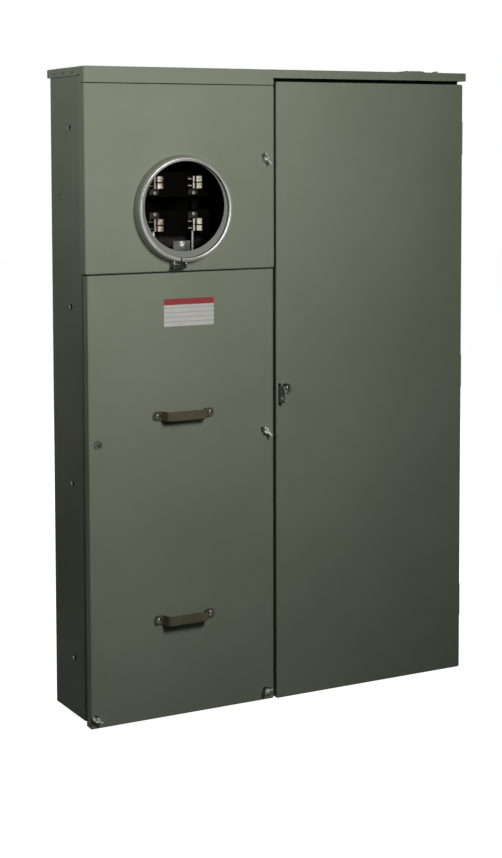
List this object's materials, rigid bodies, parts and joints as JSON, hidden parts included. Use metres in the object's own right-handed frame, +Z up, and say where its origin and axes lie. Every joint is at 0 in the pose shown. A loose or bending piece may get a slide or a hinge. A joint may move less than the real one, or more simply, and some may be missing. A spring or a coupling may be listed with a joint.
{
  "type": "distribution board",
  "caption": "Wall-mounted sheet-steel distribution board with a round meter socket, a lift-off pull section cover with strap handles, and a hinged door over the breakers.",
  "frame": {"origin": "centre of the four wall fixing holes, on the plane of the wall", "axes": "+X to the right as seen from the front, +Y towards the wall, +Z up"},
  "size_m": [0.7678, 0.1735, 1.1106],
  "materials": {
    "body_paint": "satin grey-green paint",
    "hub_metal": "satin grey paint",
    "zinc": "bright zinc plate",
    "ring_metal": "satin, with a polished bead",
    "strap_steel": "dull satin",
    "tinned_copper": "tin-plated copper, dull",
    "bar_aluminium": "mill finish",
    "galvanised": "galvanised, dull",
    "dead_front_paint": "satin grey paint",
    "block_moulding": "matt moulding",
    "breaker_moulding": "fine matt texture",
    "handle_moulding": "semi-gloss"
  },
  "bodies": {
    "enclosure": {"bottom_end_wall": "body_paint", "branch_breakers": "breaker_moulding", "branch_bus_left": "tinned_copper", "branch_bus_right": "tinned_copper", "bus_insulator": "block_moulding", "centre_mullion": "body_paint", "clip_nuts": "zinc", "dead_front": "dead_front_paint", "dead_front_rails": "galvanised", "dead_front_screws": "zinc", "enclosure_body": "body_paint", "ground_bar": "bar_aluminium", "hinge_body_leaves": "body_paint", "hinge_pins": "zinc", "hub_closing_plate": "hub_metal", "hub_screws": "zinc", "interior_pan": "galvanised", "jaw_blocks": "block_moulding", "jaw_brackets": "galvanised", "jaw_screws": "zinc", "jaws_lower": "tinned_copper", "jaws_upper": "tinned_copper", "line_bars": "bar_aluminium", "line_lugs": "bar_aluminium", "load_bar_left": "tinned_copper", "load_bar_right": "tinned_copper", "lug_block": "block_moulding", "main_breaker": "breaker_moulding", "meter_bracket": "galvanised", "neutral_bars": "bar_aluminium", "neutral_link": "bar_aluminium", "neutral_lug": "bar_aluminium", "neutral_stands": "block_moulding", "padlock_hasp": "zinc", "section_shelf": "body_paint", "top_cap": "body_paint", "top_rail": "body_paint"},
    "door": {"door": "body_paint", "door_stiffener": "body_paint", "hinge_door_leaves": "body_paint"},
    "door_latch": {"latch_knob": "zinc", "latch_cam": "zinc"},
    "main_handle": {"main_handle": "handle_moulding"},
    "branch_handle_1": {"branch_handle_1": "handle_moulding"},
    "branch_handle_2": {"branch_handle_2": "handle_moulding"},
    "branch_handle_3": {"branch_handle_3": "handle_moulding"},
    "branch_handle_4": {"branch_handle_4": "handle_moulding"},
    "meter_cover": {"meter_cover": "body_paint", "sealing_ring": "ring_metal", "ring_latch_pin": "zinc"},
    "ring_latch": {"ring_latch": "ring_metal"},
    "pull_cover": {"pull_cover": "body_paint", "grab_handle_upper": "strap_steel", "grab_handle_lower": "strap_steel", "handle_screws": "zinc", "pull_cover_screw": "zinc"},
    "wing_screw_meter": {"wing_screw_meter": "zinc"},
    "wing_screw_middle": {"wing_screw_middle": "zinc"},
    "wing_screw_right": {"wing_screw_right": "zinc"},
    "wing_screw_left": {"wing_screw_left": "zinc"}
  },
  "joints": [
    {"name": "door_hinge", "type": "hinge", "parent": "enclosure", "child": "door", "pos_m": [0.3822, -0.1369, 0], "axis": [0, 0, 1], "range_deg": [0, 130]},
    {"name": "door_latch_turn", "type": "hinge", "parent": "door", "child": "door_latch", "pos_m": [-0.0013, -0.1535, -0.006], "axis": [0, 1, 0], "range_deg": [0, 90]},
    {"name": "main_throw", "type": "hinge", "parent": "enclosure", "child": "main_handle", "pos_m": [0.1725, -0.10725, 0.2375], "axis": [0, 0, 1], "range_deg": [0, 36]},
    {"name": "branch_throw_1", "type": "hinge", "parent": "enclosure", "child": "branch_handle_1", "pos_m": [0.12825, -0.11025, 0.1401], "axis": [0, 0, 1], "range_deg": [-36, 0]},
    {"name": "branch_throw_2", "type": "hinge", "parent": "enclosure", "child": "branch_handle_2", "pos_m": [0.21675, -0.11025, 0.1401], "axis": [0, 0, 1], "range_deg": [0, 36]},
    {"name": "branch_throw_3", "type": "hinge", "parent": "enclosure", "child": "branch_handle_3", "pos_m": [0.12825, -0.11025, 0.0893], "axis": [0, 0, 1], "range_deg": [-36, 0]},
    {"name": "branch_throw_4", "type": "hinge", "parent": "enclosure", "child": "branch_handle_4", "pos_m": [0.21675, -0.11025, 0.0893], "axis": [0, 0, 1], "range_deg": [0, 36]},
    {"name": "meter_cover_lift_off", "type": "slide", "parent": "enclosure", "child": "meter_cover", "axis": [0, -1, 0], "range_m": [0, 0.25]},
    {"name": "ring_latch_turn", "type": "hinge", "parent": "meter_cover", "child": "ring_latch", "pos_m": [-0.2247, -0.16265, 0.214], "axis": [0, 1, 0], "range_deg": [0, 90]},
    {"name": "pull_cover_lift_off", "type": "slide", "parent": "enclosure", "child": "pull_cover", "axis": [0, -1, 0], "range_m": [0, 0.25]},
    {"name": "wing_screw_meter_turn", "type": "hinge", "parent": "meter_cover", "child": "wing_screw_meter", "pos_m": [-0.042, -0.1515, 0.395], "axis": [0, 1, 0], "continuous": true},
    {"name": "wing_screw_middle_turn", "type": "hinge", "parent": "pull_cover", "child": "wing_screw_middle", "pos_m": [-0.042, -0.1515, -0.0775], "axis": [0, 1, 0], "continuous": true},
    {"name": "wing_screw_right_turn", "type": "hinge", "parent": "pull_cover", "child": "wing_screw_right", "pos_m": [-0.042, -0.1515, -0.539], "axis": [0, 1, 0], "continuous": true},
    {"name": "wing_screw_left_turn", "type": "hinge", "parent": "pull_cover", "child": "wing_screw_left", "pos_m": [-0.369, -0.1515, -0.539], "axis": [0, 1, 0], "continuous": true}
  ]
}
